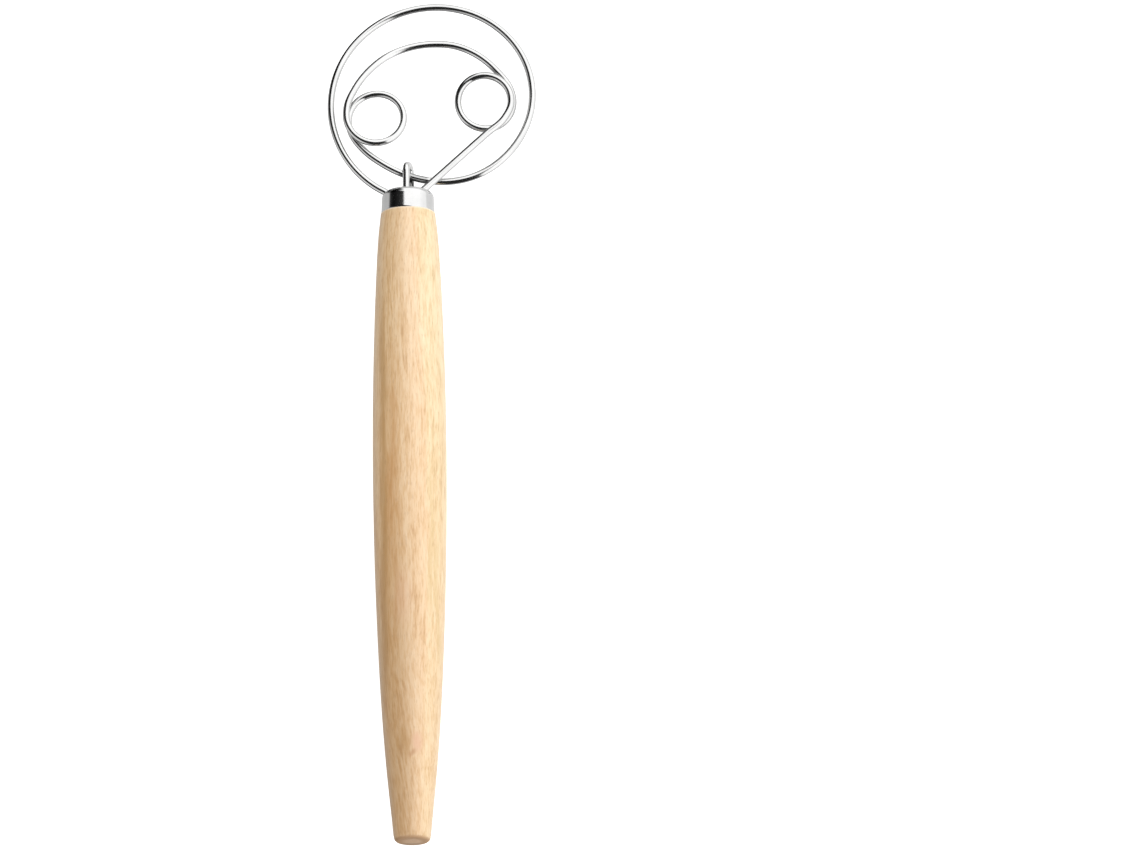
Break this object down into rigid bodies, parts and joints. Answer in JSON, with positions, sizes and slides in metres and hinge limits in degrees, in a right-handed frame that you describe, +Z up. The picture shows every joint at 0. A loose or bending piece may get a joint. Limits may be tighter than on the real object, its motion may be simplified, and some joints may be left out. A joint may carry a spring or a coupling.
{
  "type": "dough whisk",
  "caption": "Dough whisk: turned barrel-shaped wooden handle with a steel ferrule and a flat stirring head of coiled, polished steel wire.",
  "frame": {"origin": "middle of the bounding box, on the table the whisk lies on", "axes": "+Y along the handle towards the wire head, +Z up from the table, +X to the right of the head seen from above"},
  "size_m": [0.0808, 0.343, 0.0294],
  "materials": {
    "wood": "satin, fine straight grain with short dark pores",
    "polished_steel": "polished drawn stainless steel",
    "steel_wire": "bright drawn stainless steel wire",
    "resin": "set adhesive"
  },
  "bodies": {
    "root": {"handle": "wood", "ferrule": "polished_steel", "whisk_wire": "steel_wire", "retaining_staple": "steel_wire", "bedding_resin": "resin"}
  },
  "joints": []
}
